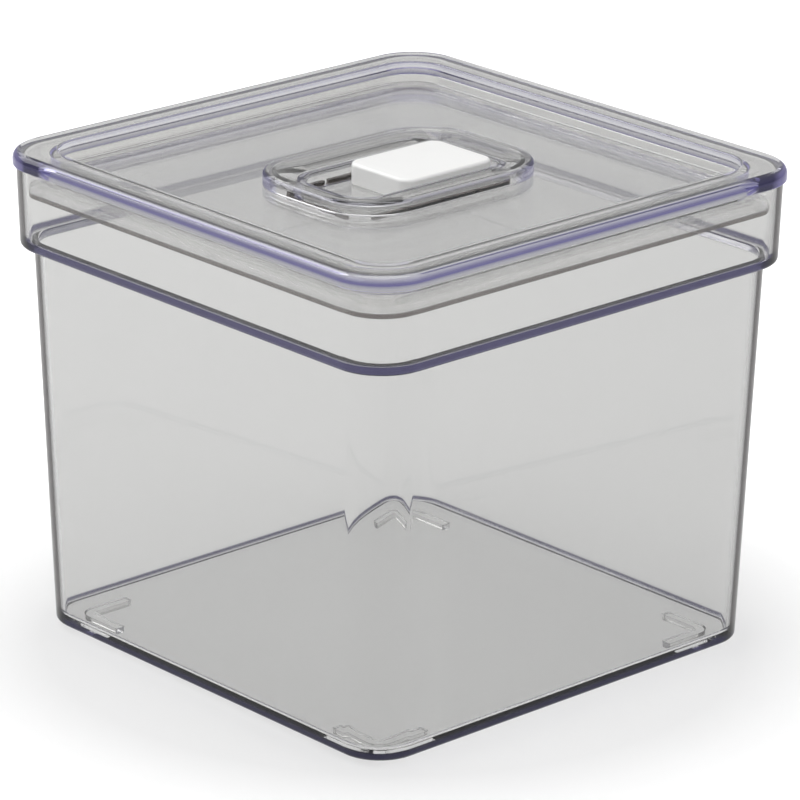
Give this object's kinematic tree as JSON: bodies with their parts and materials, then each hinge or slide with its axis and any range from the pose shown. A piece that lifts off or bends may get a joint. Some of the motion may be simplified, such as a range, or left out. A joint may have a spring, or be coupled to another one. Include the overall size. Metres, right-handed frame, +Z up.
{
  "type": "storage box with lid",
  "caption": "Clear square storage box with a wide collar and stacking feet; a flip lever in the lid's handle well squeezes the seal against the collar.",
  "frame": {"origin": "middle of the square that the feet's undersides stand on", "axes": "+Z up; X along the lever, with its free end towards -X; Y along the lever's pin"},
  "size_m": [0.16, 0.16, 0.1411],
  "materials": {
    "clear_plastic": "clear, polished, faint violet tint at the edges",
    "silicone": "translucent, satin",
    "steel": "drawn rod",
    "white_plastic": "glossy white moulding"
  },
  "bodies": {
    "container": {"container_body": "clear_plastic"},
    "lid": {"lid_cover": "clear_plastic", "handle_well": "clear_plastic", "seal_gasket": "silicone"},
    "plate": {"press_plate": "clear_plastic", "pull_post": "clear_plastic", "hinge_pin": "steel"},
    "lever": {"flip_lever": "white_plastic"}
  },
  "joints": [
    {"name": "lid_lift", "type": "slide", "parent": "container", "child": "lid", "axis": [0, 0, 1], "range_m": [0, 0.06]},
    {"name": "plate_drop", "type": "slide", "parent": "lid", "child": "plate", "axis": [0, 0, -1], "range_m": [0, 0.0016], "deforming": ["seal_gasket"]},
    {"name": "lever_flip", "type": "hinge", "parent": "plate", "child": "lever", "pos_m": [0.0233, 0, 0.1354], "axis": [0, 1, 0], "range_deg": [0, 90]}
  ],
  "couplings": [
    {"joint": "lever_flip", "follows": "plate_drop", "rad_per_m": 981.74}
  ]
}
